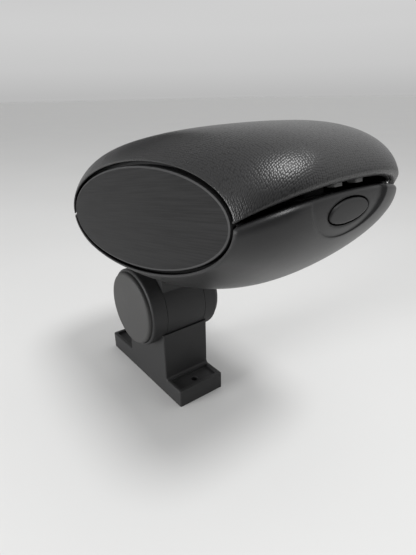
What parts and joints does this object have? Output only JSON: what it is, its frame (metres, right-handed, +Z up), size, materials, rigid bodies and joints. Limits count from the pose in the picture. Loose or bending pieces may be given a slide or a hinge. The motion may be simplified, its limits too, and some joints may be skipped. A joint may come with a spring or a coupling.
{
  "type": "car centre armrest",
  "caption": "Car centre armrest: a barrel-shaped storage bin with a padded leatherette lid, flat elliptical side panels and an oval push button, on a pedestal with a round tilting hinge.",
  "frame": {"origin": "middle of the pedestal foot's underside", "axes": "+X to the pod's nose with the push button, +Y to the left side, +Z up"},
  "size_m": [0.2801, 0.1372, 0.2582],
  "materials": {
    "shell_black": "fine-grained moulded black plastic",
    "cap_grey": "satin charcoal",
    "tub_satin": "satin soft-touch black",
    "panel_satin": "satin with fine lengthwise lines",
    "button_satin": "satin",
    "latch_plastic": "plain moulded black",
    "bearing_plastic": "natural off-white",
    "leatherette": "pebble-grain leatherette",
    "mat_rubber": "matt",
    "stop_rubber": "matt mid grey",
    "zinc_steel": "zinc plated"
  },
  "bodies": {
    "base": {"base_pedestal": "shell_black", "ear_cap_left": "cap_grey", "ear_cap_right": "cap_grey", "pivot_bolt": "zinc_steel", "pivot_nut": "zinc_steel", "pivot_washers": "zinc_steel", "friction_washers": "bearing_plastic"},
    "arm": {"hinge_arm": "shell_black", "pivot_bushes": "bearing_plastic", "arm_screws": "zinc_steel", "tub": "tub_satin", "bin_mat": "mat_rubber", "side_panel_left": "panel_satin", "side_panel_right": "panel_satin", "hinge_pin": "zinc_steel", "latch_cover": "latch_plastic", "latch_cover_screws": "zinc_steel", "button_spring": "zinc_steel"},
    "button": {"release_button": "button_satin", "release_slider": "latch_plastic"},
    "lid": {"lid_core": "shell_black", "lid_pad": "leatherette", "latch_hook": "latch_plastic", "latch_hook_screws": "zinc_steel", "lid_bumpers": "stop_rubber"}
  },
  "joints": [
    {"name": "arm_tilt", "type": "hinge", "parent": "base", "child": "arm", "pos_m": [0.011, 0, 0.087], "axis": [0, -1, 0], "range_deg": [0, 80]},
    {"name": "lid_open", "type": "hinge", "parent": "arm", "child": "lid", "pos_m": [-0.0473, 0, 0.18001], "axis": [0, -1, 0], "range_deg": [0, 85]},
    {"name": "button_press", "type": "slide", "parent": "arm", "child": "button", "axis": [-0.985, 0, -0.1724], "range_m": [0, 0.004], "stiffness_N_per_m": 500, "deforming": ["button_spring"]}
  ]
}
